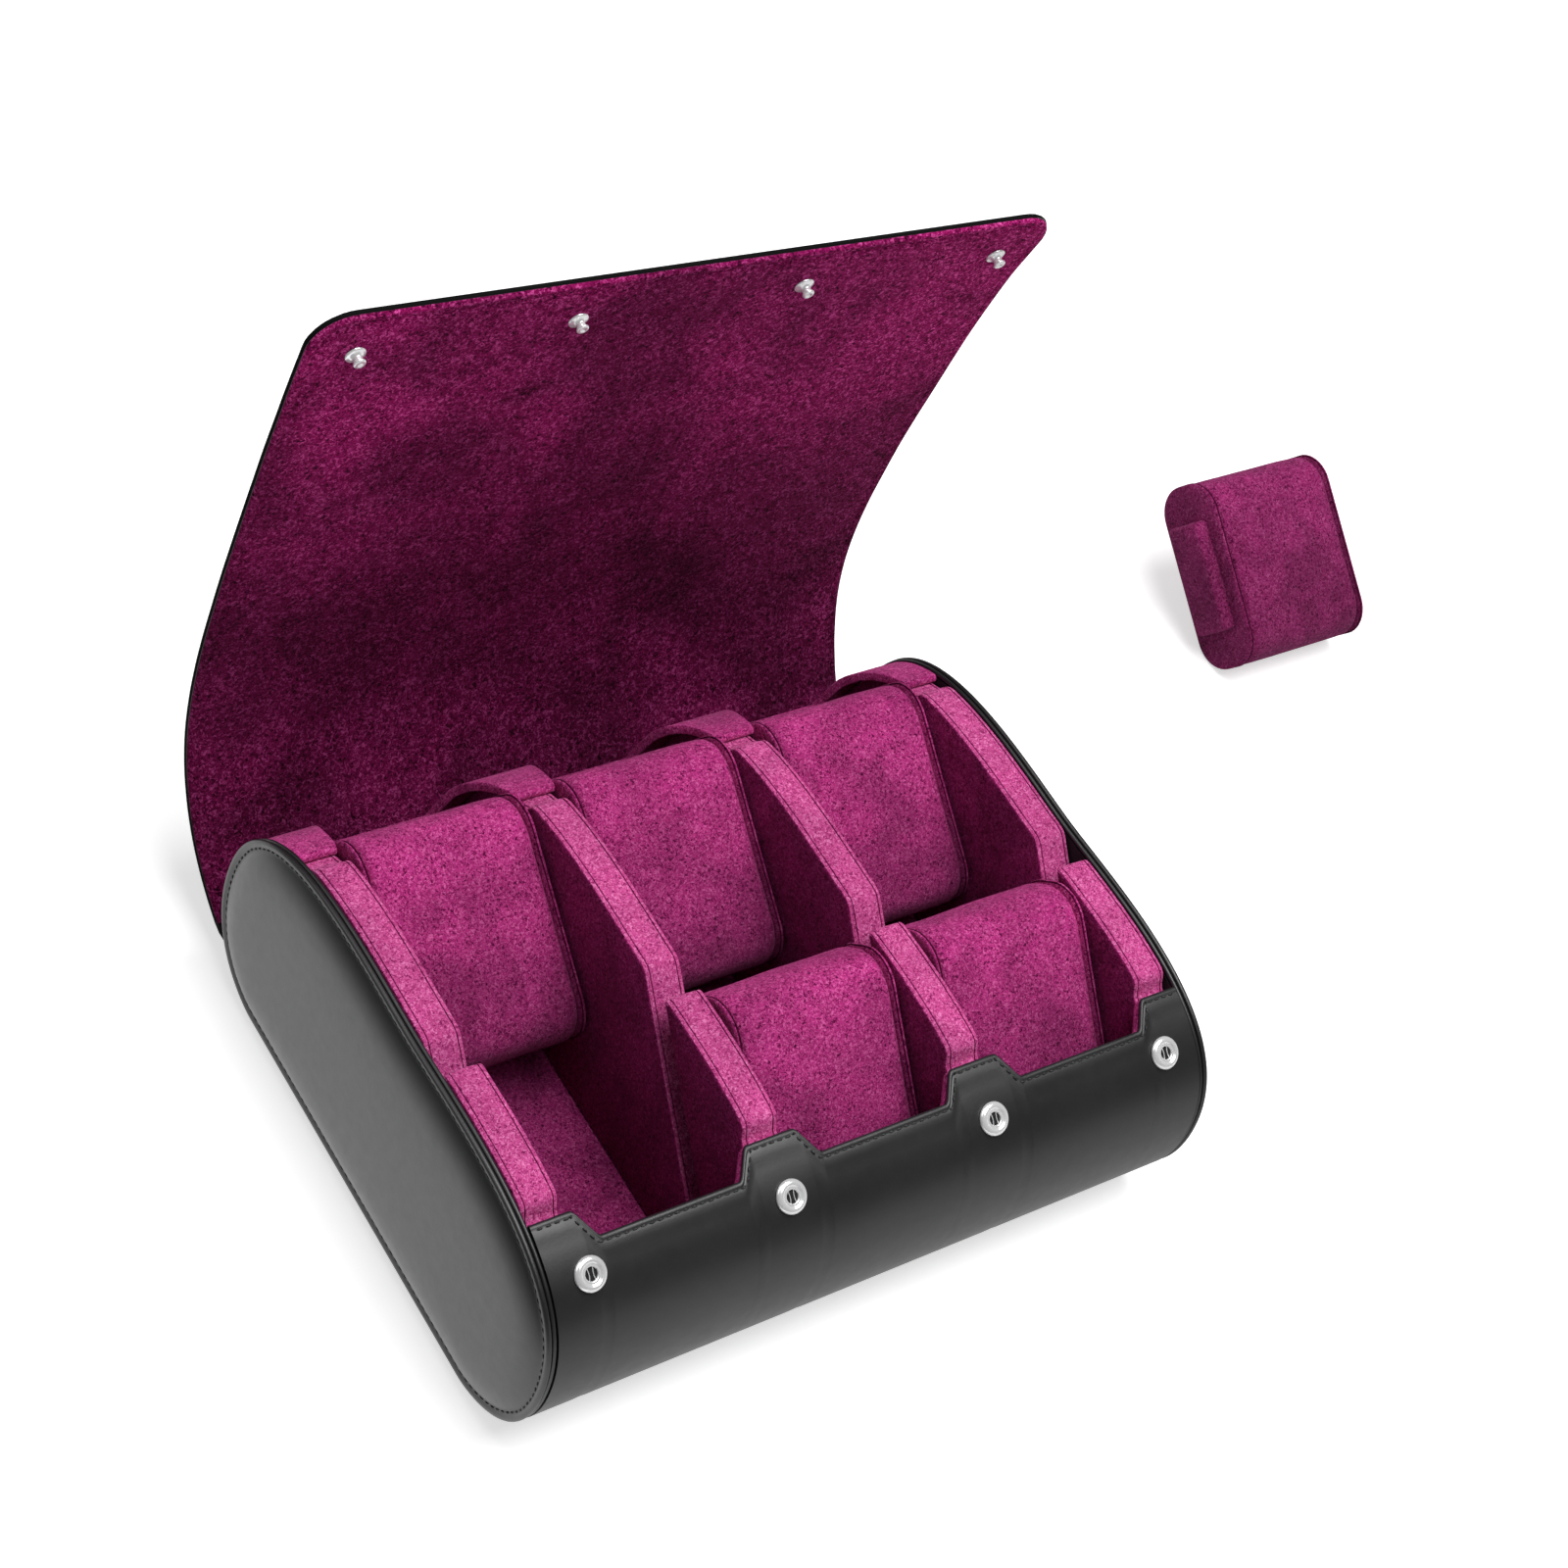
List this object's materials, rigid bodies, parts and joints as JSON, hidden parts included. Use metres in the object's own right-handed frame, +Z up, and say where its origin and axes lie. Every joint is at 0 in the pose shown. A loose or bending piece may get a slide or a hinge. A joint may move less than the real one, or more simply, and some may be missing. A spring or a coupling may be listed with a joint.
{
  "type": "watch travel case",
  "caption": "Oval hard travel case for watches, with an open flap lid, snap fasteners, suede-lined slots and rounded watch cushions, one of them lifted out.",
  "frame": {"origin": "middle of the case's flat underside", "axes": "+X along the case's length to the right end, +Y towards the flap lid at the back, +Z up"},
  "size_m": [0.4695, 0.2353, 0.2382],
  "materials": {
    "black_leather": "smooth black leather with a fine grain and a satin sheen",
    "black_board": "matte black covered board",
    "magenta_suede": "magenta suede with a short brushed nap",
    "snap_chrome": "polished chrome plate"
  },
  "bodies": {
    "case": {"cushion_front_middle": "magenta_suede", "cushion_front_middle_left_pad": "magenta_suede", "cushion_front_middle_right_pad": "magenta_suede", "cushion_front_right": "magenta_suede", "cushion_front_right_left_pad": "magenta_suede", "cushion_front_right_right_pad": "magenta_suede", "cushion_loose": "magenta_suede", "cushion_loose_left_pad": "magenta_suede", "cushion_loose_right_pad": "magenta_suede", "cushion_rear_left": "magenta_suede", "cushion_rear_left_left_pad": "magenta_suede", "cushion_rear_left_right_pad": "magenta_suede", "cushion_rear_middle": "magenta_suede", "cushion_rear_middle_left_pad": "magenta_suede", "cushion_rear_middle_right_pad": "magenta_suede", "cushion_rear_right": "magenta_suede", "cushion_rear_right_left_pad": "magenta_suede", "cushion_rear_right_right_pad": "magenta_suede", "front_left_divider": "magenta_suede", "front_left_panel": "magenta_suede", "front_right_divider": "magenta_suede", "front_right_panel": "magenta_suede", "front_snap_socket_1": "snap_chrome", "front_snap_socket_2": "snap_chrome", "front_snap_socket_3": "snap_chrome", "front_snap_socket_4": "snap_chrome", "inner_lining": "magenta_suede", "left_end_board": "black_board", "left_end_cap": "black_leather", "left_welt": "black_leather", "outer_wrap": "black_leather", "rear_left_divider": "magenta_suede", "rear_left_panel": "magenta_suede", "rear_right_divider": "magenta_suede", "rear_right_panel": "magenta_suede", "rear_wall": "magenta_suede", "right_end_board": "black_board", "right_end_cap": "black_leather", "right_welt": "black_leather", "shell_board": "black_board"},
    "lid": {"lid_leather": "black_leather", "lid_lining": "magenta_suede", "lid_snap_cap_1": "snap_chrome", "lid_snap_cap_2": "snap_chrome", "lid_snap_cap_3": "snap_chrome", "lid_snap_cap_4": "snap_chrome", "lid_snap_stud_1": "snap_chrome", "lid_snap_stud_2": "snap_chrome", "lid_snap_stud_3": "snap_chrome", "lid_snap_stud_4": "snap_chrome"}
  },
  "joints": [
    {"name": "lid_hinge", "type": "hinge", "parent": "case", "child": "lid", "pos_m": [0, 0.08958, 0.00848], "axis": [1, 0, 0], "range_deg": [-50, 28]}
  ]
}
